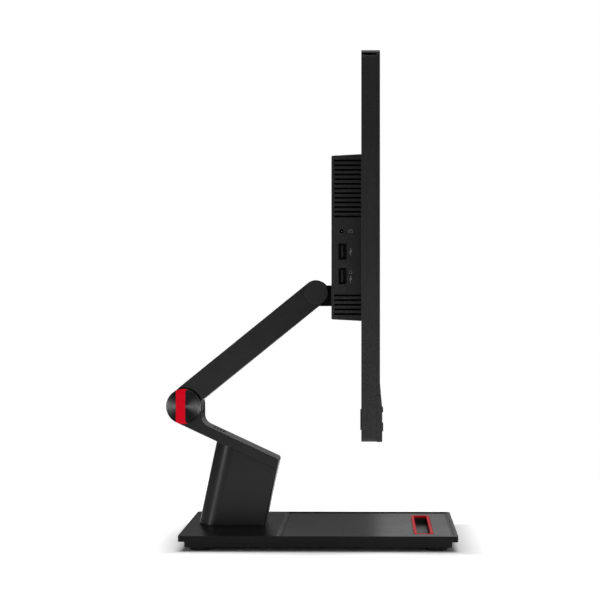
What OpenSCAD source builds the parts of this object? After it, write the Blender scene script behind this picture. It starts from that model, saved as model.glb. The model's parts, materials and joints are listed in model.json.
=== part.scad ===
// All-in-one computer on a two-hinge stand.
// +X runs to the user's right, -Y towards the user, +Z up. The origin is on the desk,
// under the middle of the whole machine's outline.

/* [Display] */
// Width of the display housing
display_w = 540; // [480:1:650]
// Height of the display housing
display_h = 344.9; // [310:0.1:400]
// Thickness of the display housing
display_t = 16.5; // [16:0.5:22]
// Width of the bezel at the sides of the picture
bezel_side = 6.5; // [4:0.5:15]
// Height of the bezel above the picture
bezel_top = 6.6; // [6.6:0.1:15]
// Height of the chin below the picture
chin_h = 41.5; // [38:0.5:60]
// How far the chin stands proud of the bezel
chin_proud = 2; // [1:0.5:5]
// Corner radius of the display outline
display_r = 4; // [2:0.5:12]
// Wall of the plastic covers
cover_wall = 2.2; // [1.6:0.1:3]

/* [Computer housing] */
// Width of the computer housing behind the display
hump_w = 430; // [400:1:460]
// Height of the housing where it leaves the rear cover
hump_h = 151.4; // [140:0.1:190]
// Depth of the housing behind the rear cover
hump_d = 27.4; // [26:0.1:40]
// Height of the housing's foot above the display's lower edge
hump_rise = 105.8; // [95:0.1:120]
// Height of one vent slot
slot_h = 1.8; // [1:0.1:2.4]
// Distance from one vent slot to the next
slot_pitch = 4.22; // [3.6:0.02:6]
// Number of side slots below the sockets
lower_slots = 5; // [2:1:5]

/* [Stand] */
// Height of the lower hinge above the desk
hinge_z = 134.9; // [125:0.1:170]
// Radius of the lower hinge
hinge_r = 17.8; // [17.5:0.1:22]
// Length of the arm between its hinges, along its faces
arm_run = 175.2; // [140:0.1:215]
// Thickness of the arm
arm_t = 24.5; // [24:0.1:30]
// Width of the arm and of the neck
arm_w = 47; // [46:0.5:60]
// Slope of the arm at rest, in degrees
arm_angle = 39; // [30:1:45]
// Distance from the upper hinge forward to the computer housing
bracket_reach = 19.7; // [18:0.1:26]
// Height of the upper hinge above the display's lower edge
pivot_rise = 132.7; // [125:0.1:140]
// Radius of both hinge axles
axle_r = 4; // [3:0.1:4.8]

/* [Neck and column] */
// Slope of the neck, in degrees
neck_slope = 25; // [18:1:30]
// Thickness of the neck
neck_t = 10; // [8:0.5:12]
// Lean of the column, in degrees
column_lean = 12; // [6:1:15]
// Width of the column
column_w = 41; // [34:1:44]
// Depth of the column, square to its lean
column_d = 66.3; // [56:0.1:80]
// Wall of the column shell
column_wall = 3; // [2:0.5:4]

/* [Base] */
// Width of the base
base_w = 225; // [190:1:270]
// Depth of the base
base_d = 269.4; // [225:0.1:325]
// Thickness of the base's top plate
top_plate_t = 5.6; // [5:0.1:8]
// Thickness of the steel weight plate
weight_t = 5.8; // [5:0.1:8]
// Height of the rubber feet
foot_h = 3.8; // [3:0.1:6]
// Radius of the rubber feet
foot_r = 10.3; // [8:0.1:14]
// Inner width of the phone slot
phone_w = 160; // [120:1:190]
// Inner depth of the phone slot, front to back
phone_d = 13; // [11:0.5:18]
// Width of the slot liner's visible rim
liner_rim = 3; // [2:0.5:4]

/* [Sockets and buttons] */
// Length of a USB socket's opening
usb_l = 12.6; // [12.5:0.1:13]
// Width of a USB socket's opening
usb_d = 5.2; // [5:0.1:5.5]
// Radius of the headset socket's bore
jack_r = 1.8; // [1.78:0.01:1.85]
// Radius of the power button
power_r = 4; // [3:0.5:5]
// Travel of the power button
power_travel = 0.8; // [0.4:0.1:1]

/* [Hidden] */
$fn = 72;
eps = 0.01;

run_gap = 0.05;      // running fit of a turning shaft, on the radius
seat_gap = 0.02;     // gap round a fixed shaft or screw
part_gap = 0.15;     // gap between neighbouring pieces of one body
seam = 0.3;          // visible seam between covers

// Base
base_r = 3;
base_inset = 5.5;
foot_inset = 20.4;
hinge_behind = 2.5;
depth_all = base_d + hinge_behind + hinge_r;
base_y0 = -depth_all / 2;
base_y1 = base_y0 + base_d;
weight_z = foot_h;
top_z0 = weight_z + weight_t;
base_top = top_z0 + top_plate_t;
tray_rim = 3.5;
tray_drop = 1;
tray_step = 97.5;    // from the base's rear edge to the foot of the tray's step
tray_y1 = base_y1 - tray_step;
insert_t = 1.6;
phone_y = base_y0 + 32.4;
liner_wall = 1.7;
liner_h = 9.3;
liner_floor = 1.2;
liner_top = base_top - tray_drop + 0.3;

// Column and neck
column_inset = 11.4;
column_y1 = base_y1 - column_inset;
column_y0 = column_y1 - column_d / cos(column_lean);
column_y = (column_y0 + column_y1) / 2;
core_w = 26;
core_d = 44;
core_screw = [8, 15];
screw_r = 2.5;

vent_run = -47;      // from the hinge to the first dark bar on the deck, along the slope
vent_pitch = 3.4;

// Lower hinge, as [y, z]
p1 = [base_y1 + hinge_behind, hinge_z];
ear_t = 7.6;
ear_in = arm_w / 2 - ear_t;
washer_t = 0.6;
knuckle_out = ear_in - washer_t - 2 * part_gap;
knuckle_r = hinge_r - 0.3;
shoulder_r = hinge_r + 1.5;
knuckle_room = 1.2;  // room round the arm's knuckle, for the arm at its lowest
cap_t = 0.8;
band_t = 0.35;
band_y0 = -1.6;
band_y1 = 7.8;

// Level-keeping link
link_t = 3;
link_off = 7.6;
link_dir = 62;       // lean of the pin's offset behind the hinge, above the horizontal
pin_r = 1.5;
eye_r = 2.6;
cheek_t = 3;
cheek_in = link_t / 2 + 0.5;
cheek_out = cheek_in + cheek_t;
cheek_r = link_off + eye_r + 0.2;
knuckle_in = cheek_out + 0.4;
pin_off = [link_off * cos(link_dir), link_off * sin(link_dir)];
pocket_gap = 0.8;

// Counterbalance springs, between the link and the neck's ears
spring_r = 7;
spring_wire = 1;
spring_turns = 2;
spring_pitch = 2.3;
spring_x = knuckle_out - 1.6 - spring_turns * spring_pitch;
pocket_r = spring_r + spring_wire + pocket_gap;

// Upper hinge, as [y, z]
arm_mid = hinge_r - arm_t / 2;
p2 = p1 + [arm_mid * sin(arm_angle) - arm_run * cos(arm_angle),
           arm_run * sin(arm_angle) + arm_mid * cos(arm_angle)];
lug_r = 10.4;
lug_in = knuckle_in;
lug_out = 13.5;
fork_in = lug_out + 0.7;
crotch_r = lug_r + 1;
disc_r = arm_t / 2;
disc_t = 1.1;

// Arm: the cavity under its top cover, along its faces
arm_wall = 4;
arm_floor = 2.5;
arm_cover_t = 1.6;
cavity_u0 = shoulder_r + 6;
cavity_u1 = arm_run - crotch_r - 6;

// Display, front to back
hump_y1 = p2[0] - bracket_reach;
back_y = hump_y1 - hump_d;
front_y = back_y - display_t;
bezel_t = 3;
rear_t = 4.6;
bezel_y1 = front_y + bezel_t;
rear_y0 = back_y - rear_t;
display_z0 = p2[1] - pivot_rise;
display_z1 = display_z0 + display_h;
cap_h = 2.7;
cap_z0 = display_z1 - cap_h;
body_z1 = cap_z0 - seam;
chin_z1 = display_z0 + chin_h;
frame_wall = 3;
picture_w = display_w - 2 * bezel_side;
picture_z1 = display_z1 - bezel_top;
chin_y = front_y - chin_proud;

// Computer housing
draft = 1.5;         // how much the housing narrows, top and bottom, towards its back
hump_z0 = display_z0 + hump_rise;
hump_z1 = hump_z0 + hump_h;
slot_y0 = back_y + 0.65;
slot_y1 = hump_y1 - 2.4;
usb_pitch = 22.3;
usb_z = [hump_z0 + 63, hump_z0 + 63 - usb_pitch];
jack_z = hump_z0 + 81.4;
board_y1 = hump_y1 - 13.15;
board_t = 1.6;
usb_shell = 0.4;
usb_y = board_y1 + usb_d / 2 + usb_shell;
jack_y = board_y1 + 3.8;
collar_r = 3.6;
usb_room = 1.1;      // from a USB socket's opening to the edge of the cover's cut-out
wall_x = hump_w / 2;
lower_z = hump_z0 + 6.3;
upper_z1 = hump_z1 - 5.9;
upper_slots = floor((upper_z1 - jack_z - 12.5) / slot_pitch) + 1;
board_x0 = -wall_x + 5;
board_x1 = board_x0 + 152;
board_z0 = hump_z0 + 6.4;
board_z1 = hump_z1 - 7;
card_x = board_x0 + 18;
port_depth = 14;
fan_x = wall_x - 65;
fan_z = hump_z1 - 52;
fan_r = 24;
fin_count = 18;

// Downward sockets: place across the machine, width and height off the board
down_ports = [[-wall_x + 37, 15, 10], [-wall_x + 63, 15, 5.6], [-wall_x + 87, 16, 5.6],
              [-wall_x + 115, 14, 7]];
port_z0 = hump_z0 + cover_wall + draft + 0.6;
port_wall = 0.8;
io_t = 1.8;
io_x0 = -wall_x + 26;
io_x1 = -wall_x + 126;
io_y0 = board_y1 - 1.4;
io_y1 = hump_y1 - cover_wall - 0.2;

// Mounting inside the housing
chassis_y0 = rear_y0 - 1.35;
chassis_t = 1.2;
plate_y1 = hump_y1 - 4.75;
plate_t = 2.5;
plate_w = 104;
plate_h = 60;
plate_z = p2[1] + 12.5;
stud_x = 40;
stud_z = 22;
stud_r = 4;
mount_screw_r = 2;
block_x = 16;
block_low = 13.9;
block_high = 7;
block_f = 13;
lug_toe = 3;         // how far in front of the hinge the lugs' lower edge ends
block_screw_x = 9;
block_screw_z = p2[1] - 3;

// Speakers, buttons and camera
speaker_x = display_w / 2 - 90;
speaker_z = display_z0 + 14.5;
speaker_w = 70;
speaker_h = 20;
button_x = -display_w / 2 + 18;
button_proud = power_travel + 0.1;
button_back = chin_y + 3.6;
switch_room = 0.8;   // from a pressed button's flange to its switch
menu_travel = 0.6;
button_pitch = 12;
power_z = display_z0 + 12.2;
menu_z = display_z0 + 27.2;
menu_w = 8;
menu_h = 3.6;
lens_z = (picture_z1 + body_z1) / 2;
lens_r = 1.4;
shutter_x = 8;       // how far the open shutter stands beside the lens

black = "#26272a";
satin = "#2f3033";
steel = "#8a8d92";
red = "#d8102c";
board_green = "#20402e";

// Polygon with its corners rounded; each corner is [y, z, radius]
function unit(v) = v / norm(v);
function corner(a, b, c) =
    let (u = unit([a[0] - b[0], a[1] - b[1]]), w = unit([c[0] - b[0], c[1] - b[1]]))
    let (half = acos(u * w) / 2, reach = b[2] / tan(half), mid = unit(u + w))
    let (o = [b[0], b[1]] + mid * b[2] / sin(half))
    let (s = [b[0], b[1]] + u * reach - o, e = [b[0], b[1]] + w * reach - o)
    let (a0 = atan2(s[1], s[0]), turn = atan2(e[1], e[0]) - a0)
    let (sweep = turn > 180 ? turn - 360 : turn < -180 ? turn + 360 : turn)
    [for (i = [0:7]) o + b[2] * [cos(a0 + sweep * i / 7), sin(a0 + sweep * i / 7)]];
function rounded(p) = [for (i = [0:len(p) - 1])
    each p[i][2] > 0 ? corner(p[(i + len(p) - 1) % len(p)], p[i], p[(i + 1) % len(p)])
                     : [[p[i][0], p[i][1]]]];

// Extrudes a [y, z] outline across the machine, from x0 to x1
module across(x0, x1) {
    translate([x0, 0, 0]) rotate([90, 0, 90]) linear_extrude(x1 - x0) children();
}

// The same outline on both sides of the middle
module both_sides(x0, x1) {
    across(x0, x1) children();
    across(-x1, -x0) children();
}

// Box given by its low and high corners
module box(a, b) {
    translate(a) cube(b - a);
}

// Rounded rectangle, centred
module round_rect(w, h, r) {
    square([w - 2 * r, h], center = true);
    square([w, h - 2 * r], center = true);
    for (x = [-1, 1], y = [-1, 1]) translate([x * (w / 2 - r), y * (h / 2 - r)]) circle(r);
}

// Upright rounded plate
module flat_plate(w, y0, y1, z0, z1, r) {
    translate([0, (y0 + y1) / 2, z0]) linear_extrude(z1 - z0) round_rect(w, y1 - y0, r);
}

// Plate that faces the user, rounded at its corners, from y0 back to y1
module panel(w, z0, z1, y0, y1, r) {
    translate([0, y1, (z0 + z1) / 2]) rotate([90, 0, 0])
        linear_extrude(y1 - y0) round_rect(w, z1 - z0, r);
}

// Cylinder along X through a [y, z] point
module shaft(p, r, x0, x1) {
    translate([x0, p[0], p[1]]) rotate([0, 90, 0]) cylinder(r = r, h = x1 - x0);
}

// Cylinder along Y
module peg(x, z, r, y0, y1) {
    translate([x, y1, z]) rotate([90, 0, 0]) cylinder(r = r, h = y1 - y0);
}

// Everything on the neck's side of a plane parallel to its faces, h above the hinge centre
module above_neck(h) {
    translate([0, p1[0], p1[1]]) rotate([neck_slope, 0, 0])
        translate([-100, -250, h]) cube([200, 450, 200]);
}

// ---- Base ----

module base_top_plate() {
    color(satin) difference() {
        flat_plate(base_w, base_y0, base_y1, top_z0, base_top, base_r);
        across(-base_w / 2 + tray_rim, base_w / 2 - tray_rim)
            polygon([[base_y0 + tray_rim, base_top + 1], [base_y0 + tray_rim, base_top - tray_drop],
                     [tray_y1, base_top - tray_drop], [tray_y1 + 3, base_top],
                     [tray_y1 + 3, base_top + 1]]);
        flat_plate(base_w - 2 * tray_rim - 4, base_y0 + tray_rim + 2, tray_y1 - 2,
                   base_top - tray_drop - insert_t - part_gap, base_top, 2);
        flat_plate(phone_w + 2 * liner_rim + 0.4, phone_y - phone_d / 2 - liner_rim - 0.2,
                   phone_y + phone_d / 2 + liner_rim + 0.2, top_z0 - 1, base_top + 1, 2.5);
        core_screws() cylinder(r = screw_r + 0.3, h = 40);
    }
}

module tray_insert() {
    z1 = base_top - tray_drop;
    color(black) difference() {
        flat_plate(base_w - 2 * tray_rim - 4 - 2 * part_gap, base_y0 + tray_rim + 2 + part_gap,
                   tray_y1 - 2 - part_gap, z1 - insert_t, z1, 2);
        flat_plate(phone_w + 2 * liner_rim + 0.4, phone_y - phone_d / 2 - liner_rim - 0.2,
                   phone_y + phone_d / 2 + liner_rim + 0.2, z1 - 5, z1 + 1, 2.5);
    }
}

module phone_slot_liner() {
    out_w = phone_w + 2 * liner_wall;
    out_d = phone_d + 2 * liner_wall;
    color(red) difference() {
        union() {
            flat_plate(out_w, phone_y - out_d / 2, phone_y + out_d / 2,
                       liner_top - liner_h, liner_top, 2.5);
            flat_plate(phone_w + 2 * liner_rim, phone_y - phone_d / 2 - liner_rim,
                       phone_y + phone_d / 2 + liner_rim, liner_top - 1.2, liner_top, 2.5);
        }
        flat_plate(phone_w, phone_y - phone_d / 2, phone_y + phone_d / 2,
                   liner_top - liner_h + liner_floor, liner_top + 1, 1.5);
    }
}

module base_weight_plate() {
    pocket_w = phone_w + 2 * liner_wall + 2 * part_gap;
    pocket_d = phone_d + 2 * liner_wall + 2 * part_gap;
    color(steel) difference() {
        flat_plate(base_w - 2 * base_inset, base_y0 + base_inset, base_y1 - base_inset,
                   weight_z, top_z0, base_r);
        flat_plate(pocket_w, phone_y - pocket_d / 2, phone_y + pocket_d / 2,
                   liner_top - liner_h - part_gap, top_z0 + 1, 2.5);
        core_screws() cylinder(r = screw_r + 0.3, h = 40);
        core_screws() cylinder(r = 4.6, h = 2.9);
    }
}

module base_feet() {
    color("#151516")
        for (x = [-1, 1], y = [base_y0 + foot_inset, base_y1 - foot_inset])
            translate([x * (base_w / 2 - foot_inset), y, 0]) rotate_extrude()
                polygon([[0, 0], [foot_r - 0.8, 0], [foot_r, 0.8], [foot_r, foot_h], [0, foot_h]]);
}

// Places at the four screws that hold the column, from the weight plate's underside
module core_screws() {
    for (x = [-1, 1], y = [-1, 1])
        translate([x * core_screw[0], column_y + y * core_screw[1], weight_z]) children();
}

module base_screws() {
    color(steel) core_screws() {
        translate([0, 0, 0.3]) difference() {
            cylinder(r = 4.3, h = 2.6);
            translate([0, 0, -eps]) cylinder(r = 2.2, h = 1.4, $fn = 6);
        }
        translate([0, 0, 2.8]) cylinder(r = screw_r, h = top_plate_t + weight_t + 7);
    }
}

// ---- Column and neck ----

// Places a prism along the leaning column, cut off at the base and under the neck
module leaning() {
    difference() {
        translate([0, column_y, base_top]) rotate([column_lean, 0, 0])
            translate([0, 0, -25]) children();
        translate([-60, column_y - 90, base_top - 60]) cube([120, 180, 60]);
        above_neck(-hinge_r);
    }
}

// Column section: flat in front and at the sides, round behind
module column_section(w, y0, y1, r) {
    translate([0, y1 - w / 2]) circle(w / 2);
    translate([-w / 2, y0 + r]) square([w, y1 - y0 - w / 2 - r]);
    translate([-w / 2 + r, y0]) square([w - 2 * r, r + eps]);
    for (x = [-1, 1]) translate([x * (w / 2 - r), y0 + r]) circle(r);
}

module column_shell() {
    color(satin) leaning() linear_extrude(150) difference() {
        column_section(column_w, -column_d / 2, column_d / 2, 3);
        column_section(column_w - 2 * column_wall, -column_d / 2 + column_wall,
                       column_d / 2 - column_wall, 1);
    }
}

module column_core() {
    color(steel) difference() {
        leaning() linear_extrude(150) round_rect(core_w, core_d, 3);
        core_screws() cylinder(r = screw_r + seat_gap, h = top_plate_t + weight_t + 11);
    }
}

// Where a plane h above the hinge centre, parallel to the neck, meets the column's front
function neck_end(h) =
    let (s = [-cos(neck_slope), -sin(neck_slope)], n = [-sin(neck_slope), cos(neck_slope)])
    let (c = [sin(column_lean), -cos(column_lean)], q = p1 + n * h)
    let (d = [column_y0, base_top] - q)
    let (t = (d[0] * c[1] - d[1] * c[0]) / (s[0] * c[1] - s[1] * c[0]))
    q + s * t;

module neck_outline() {
    deck = neck_t - hinge_r;
    n = [-sin(neck_slope), cos(neck_slope)];
    front = p1[0] - hinge_r;
    c = neck_end(deck);
    d = neck_end(-hinge_r);
    e = p1 - n * hinge_r;
    translate(p1) circle(hinge_r, $fn = 120);
    polygon(rounded([[p1[0], p1[1], 0], [front, p1[1], 0],
        [front, p1[1] + (deck - hinge_r * sin(neck_slope)) / cos(neck_slope), 10.7],
        [c[0], c[1], 3], [d[0], d[1], 1], [e[0], e[1], 0]]));
}

module neck_casting() {
    color(satin) difference() {
        across(-arm_w / 2, arm_w / 2) neck_outline();
        across(-ear_in, ear_in) translate(p1) circle(hinge_r + knuckle_room, $fn = 120);
        shaft(p1, axle_r + seat_gap, -arm_w, arm_w);
    }
}

// Four short dark bars in the middle of the neck's deck
module deck_vents() {
    deck = neck_t - hinge_r;
    color("black") translate([0, p1[0], p1[1]]) rotate([neck_slope, 0, 0])
        for (i = [0:3])
            translate([-arm_w / 6, vent_run + i * vent_pitch, deck + eps])
                cube([arm_w / 3, 1.3, 0.25]);
}

// ---- Lower hinge ----

// Spun end cap on one ear, outer face towards +X
module hinge_cap() {
    r = hinge_r - 0.3;
    translate([arm_w / 2, p1[0], p1[1]]) rotate([0, 90, 0]) rotate_extrude($fn = 120)
        polygon([[0, 0], [r, 0], [r, cap_t - 0.4], [r - 0.4, cap_t], [r - 1.5, cap_t],
                 [r - 1.9, cap_t - 0.4], [r - 2.3, cap_t], [3.5, 0.35], [0, 0.35]]);
}

module hinge_cap_left() {
    color("#1c1c1e") mirror([1, 0, 0]) hinge_cap();
}

module hinge_cap_right() {
    color("#1c1c1e") hinge_cap();
}

module cap_bands() {
    color(red) both_sides(arm_w / 2 + cap_t, arm_w / 2 + cap_t + band_t) intersection() {
        translate(p1) circle(hinge_r - 0.3, $fn = 120);
        translate(p1 + [band_y0, -hinge_r]) square([band_y1 - band_y0, 2 * hinge_r]);
    }
}

module lower_axle() {
    color(steel) shaft(p1, axle_r, -arm_w / 2 + 0.3, arm_w / 2 - 0.3);
}

// Two cheeks keyed to an axle, with the level link's pin between them
module link_cheeks(p) {
    difference() {
        union() {
            shaft(p, cheek_r, cheek_in, cheek_out);
            shaft(p, cheek_r, -cheek_out, -cheek_in);
            shaft(p + pin_off, pin_r, -cheek_out, cheek_out);
        }
        shaft(p, axle_r + seat_gap, -cheek_out - 1, cheek_out + 1);
    }
}

module link_anchor() {
    color(steel) link_cheeks(p1);
}

// One round-wire coil about the lower hinge, starting at x0
module coil(x0) {
    sides = 8;
    steps = spring_turns * 20;
    points = [for (i = [0:steps], j = [0:sides - 1])
        let (a = i * 18, b = j * 360 / sides, r = spring_r + spring_wire * cos(b))
        [x0 + spring_pitch * i / 20 + spring_wire * sin(b),
         p1[0] + r * cos(a), p1[1] + r * sin(a)]];
    faces = [for (i = [0:steps - 1], j = [0:sides - 1])
        let (k = (j + 1) % sides)
        [i * sides + j, i * sides + k, (i + 1) * sides + k, (i + 1) * sides + j]];
    polyhedron(points, concat(faces, [[for (j = [sides - 1:-1:0]) j],
        [for (j = [0:sides - 1]) steps * sides + j]]));
}

module counter_springs() {
    color(steel) {
        coil(spring_x);
        coil(-spring_x - spring_turns * spring_pitch);
    }
}

module friction_washers() {
    x0 = knuckle_out + part_gap;
    color("#b08d45") difference() {
        both_sides(x0, x0 + washer_t) translate(p1) circle(12);
        shaft(p1, axle_r + 0.3, -arm_w, arm_w);
    }
}

// ---- Arm ----

// Places a [run, rise] outline of the arm in the machine's [y, z] plane
module arm_place() {
    translate(p1) mirror([1, 0]) rotate(arm_angle) children();
}

module arm_outline() {
    arm_place() {
        translate([0, hinge_r - arm_t]) square([arm_run, arm_t]);
        translate([arm_run, arm_mid]) circle(arm_t / 2);
    }
}

module arm_frame() {
    color(satin) difference() {
        union() {
            across(-arm_w / 2, arm_w / 2) difference() {
                arm_outline();
                translate(p1) circle(shoulder_r, $fn = 120);
            }
            across(-knuckle_out, knuckle_out) difference() {
                union() {
                    translate(p1) circle(knuckle_r, $fn = 120);
                    arm_outline();
                }
                arm_place() translate([-30, -30]) square([30 - eps, 60 - eps]);
            }
            across(-knuckle_out, knuckle_out) translate(p1) circle(knuckle_r, $fn = 120);
        }
        // Room for the link's cheeks at both hinges
        across(-knuckle_in, knuckle_in) {
            translate(p1) circle(cheek_r + pocket_gap);
            translate(p2) circle(cheek_r + pocket_gap);
        }
        // Channel for the level link, open to the cavity
        across(-cheek_in - 0.5, cheek_in + 0.5) arm_place()
            translate([0, 2.6]) square([arm_run - 4, hinge_r - 2.6 - 1.8]);
        // Cavity under the top cover
        across(-arm_w / 2 + arm_wall, arm_w / 2 - arm_wall) arm_place()
            translate([cavity_u0, hinge_r - arm_t + arm_floor])
                square([cavity_u1 - cavity_u0, arm_t]);
        // Fork for the tilt bracket
        across(-fork_in, fork_in) {
            translate(p2) circle(crotch_r, $fn = 96);
            arm_place() translate([arm_run - 12.5, arm_mid - 20]) square([35, 20]);
            arm_place() translate([arm_run - 3, arm_mid - 20]) square([33, 40]);
        }
        both_sides(spring_x - spring_wire - 0.6, knuckle_out + 1) translate(p1) circle(pocket_r);
        shaft(p1, axle_r + run_gap, -arm_w, arm_w);
        shaft(p2, axle_r + run_gap, -arm_w, arm_w);
        both_sides(arm_w / 2 - disc_t, arm_w / 2 + 1) translate(p2) circle(disc_r + part_gap);
    }
}

module arm_top_cover() {
    x = arm_w / 2 - arm_wall - part_gap;
    color(black) across(-x, x) arm_place()
        translate([cavity_u0 + part_gap, hinge_r - arm_cover_t])
            square([cavity_u1 - cavity_u0 - 2 * part_gap, arm_cover_t]);
}

module arm_pivot_discs() {
    color(black) both_sides(arm_w / 2 - disc_t + eps, arm_w / 2 - 0.05)
        translate(p2) circle(disc_r);
}

module level_link() {
    a = p1 + pin_off;
    b = p2 + pin_off;
    color(steel) difference() {
        across(-link_t / 2, link_t / 2) {
            translate(a) circle(eye_r);
            translate(b) circle(eye_r);
            translate(a) rotate(atan2(b[1] - a[1], b[0] - a[0]))
                translate([0, -1.6]) square([norm(b - a), 3.2]);
        }
        shaft(a, pin_r + run_gap, -link_t, link_t);
        shaft(b, pin_r + run_gap, -link_t, link_t);
    }
}

// ---- Upper hinge ----

module upper_axle() {
    x = arm_w / 2 - disc_t - 0.2;
    color(steel) shaft(p2, axle_r, -x, x);
}

module level_hub() {
    color(steel) link_cheeks(p2);
}

// Pegs along the two screws that hold the bracket's block
module block_screws(r, y0, y1) {
    for (s = [-1, 1]) peg(s * block_screw_x, block_screw_z, r, y0, y1);
}

module tilt_bracket() {
    f = block_f;
    color(satin) difference() {
        union() {
            both_sides(lug_in, lug_out) {
                translate(p2) circle(lug_r, $fn = 96);
                translate(p2 + [-f - 1, -lug_r]) square([f + 1, lug_r + block_high]);
                translate(p2 + [-f - 1, -block_low]) square([f + 1 - lug_toe, block_low]);
            }
            box([-block_x, plate_y1, p2[1] - block_low],
                [block_x, p2[0] - f, p2[1] + block_high]);
        }
        shaft(p2, axle_r + run_gap, -30, 30);
        block_screws(mount_screw_r + seat_gap, plate_y1 - 1, plate_y1 + 5);
    }
}

module mount_plate() {
    color(steel) difference() {
        panel(plate_w, plate_z - plate_h / 2, plate_z + plate_h / 2,
              plate_y1 - plate_t, plate_y1, 5);
        studs() rotate([90, 0, 0]) cylinder(r = mount_screw_r + 0.3, h = 80, center = true);
        block_screws(mount_screw_r + 0.3, plate_y1 - 10, plate_y1 + 1);
    }
}

// Places at the mount plate's rear face, over the four chassis studs
module studs() {
    for (x = [-1, 1], z = [-1, 1])
        translate([x * stud_x, plate_y1, plate_z + z * stud_z]) children();
}

module mount_screws() {
    color(steel) {
        studs() rotate([90, 0, 0]) {
            translate([0, 0, -1.8]) cylinder(r = 3.4, h = 1.8);
            cylinder(r = mount_screw_r, h = plate_t + 6);
        }
        block_screws(3.4, plate_y1 - plate_t - 1.6, plate_y1 - plate_t);
        block_screws(mount_screw_r, plate_y1 - plate_t, plate_y1 + 4);
    }
}

// ---- Covers ----

// Housing outline in [y, z], drawn in by a wall; the wall is not taken off the open front
function hump_profile(w) = let (y1 = hump_y1 - w) [
    [back_y, hump_z0 + w, 0], [back_y, hump_z1 - w, 0],
    [y1, hump_z1 - draft - w, w > 0 ? 0.4 : 1.2], [y1, hump_z0 + draft + w, w > 0 ? 0.4 : 1.2]];

module side_slots(z_first, count, step) {
    for (i = [0:count - 1])
        box([-wall_x - 1, slot_y0, z_first + i * step - slot_h / 2],
            [wall_x + 1, slot_y1, z_first + i * step + slot_h / 2]);
}

module hump_cover() {
    w = cover_wall;
    color(satin) difference() {
        across(-wall_x, wall_x) polygon(rounded(hump_profile(0)));
        across(-wall_x + w, wall_x - w) polygon(rounded(hump_profile(w)));
        side_slots(upper_z1, upper_slots, -slot_pitch);
        side_slots(lower_z, lower_slots, slot_pitch);
        // Slots in the back, level with the upper side slots
        for (s = [-1, 1], i = [0:upper_slots - 1])
            translate([s * (wall_x - 85), hump_y1, upper_z1 - i * slot_pitch])
                cube([130, 4 * w, slot_h], center = true);
        // Air outlet in the top, over the cooler's fins
        for (i = [0:fin_count - 1])
            box([fan_x - 29 + i * 3.4, hump_y1 - 19, hump_z1 - 3 * w],
                [fan_x - 27.2 + i * 3.4, hump_y1 - 4.5, hump_z1 + 1]);
        // Opening for the tilt bracket
        box([-block_x - 1, hump_y1 - 2 * w, p2[1] - block_low - 1],
            [block_x + 1, hump_y1 + 1, p2[1] + block_high + 1]);
        // Side sockets
        for (z = usb_z)
            box([-wall_x - 1, usb_y - usb_d / 2 - usb_room, z - usb_l / 2 - usb_room],
                [-wall_x + w + 1, usb_y + usb_d / 2 + usb_room, z + usb_l / 2 + usb_room]);
        shaft([jack_y, jack_z], collar_r + part_gap, -wall_x - 1, -wall_x + w + 1);
        // Window for the panel of sockets that look down
        box([io_x0, io_y0, hump_z0 - 1], [io_x1, io_y1, hump_z0 + 2 * w + draft]);
    }
}

// Panel round the downward sockets, set a little into the cover's window
module io_panel() {
    g = part_gap;
    color("#3a3b3e") difference() {
        box([io_x0 + g, io_y0 + g, port_z0 - g - io_t], [io_x1 - g, io_y1 - g, port_z0 - g]);
        for (p = down_ports)
            box([p[0] - p[1] / 2 + 0.4, board_y1 + 0.4, port_z0 - 5],
                [p[0] + p[1] / 2 - 0.4, board_y1 + p[2] - 0.4, port_z0 + 1]);
    }
}

module rear_cover() {
    open_w = hump_w - 2 * cover_wall - 2;
    color(black) difference() {
        panel(display_w, display_z0, body_z1, rear_y0, back_y, display_r);
        panel(display_w - 2 * frame_wall, display_z0 + frame_wall, body_z1 - 2,
              rear_y0 - 1, back_y - cover_wall, display_r - 2);
        panel(open_w, hump_z0 + cover_wall + 1, hump_z1 - cover_wall - 1,
              rear_y0, back_y + 1, 3);
    }
}

module mid_frame() {
    color("#18181a") difference() {
        panel(display_w - 0.4, display_z0, body_z1, bezel_y1, rear_y0, display_r);
        panel(display_w - 2 * frame_wall, display_z0 + frame_wall, body_z1 - 2,
              bezel_y1 - 1, rear_y0 + 1, display_r - 2);
    }
}

module front_bezel() {
    y_back = bezel_y1;
    color(black) difference() {
        panel(display_w, chin_z1, body_z1, front_y, y_back, 1);
        box([-picture_w / 2, front_y - 1, chin_z1 - 1], [picture_w / 2, y_back + 1, picture_z1]);
        // Camera window and the shutter's track behind it
        peg(0, lens_z, lens_r, front_y - 1, y_back + 1);
        box([-7, front_y + 0.6, picture_z1 + 0.2],
            [shutter_x + 7, y_back + 1, body_z1 + 1]);
    }
}

module top_cap() {
    color(black) difference() {
        panel(display_w, display_z0, display_z1, front_y, back_y, display_r);
        box([-display_w, front_y - 1, display_z0 - 1], [display_w, back_y + 1, cap_z0]);
        // Slot that the shutter's tab slides in
        box([-4, front_y - 1, cap_z0 - 1], [shutter_x + 4, front_y + 2, cap_z0 + 1.9]);
    }
}

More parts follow.
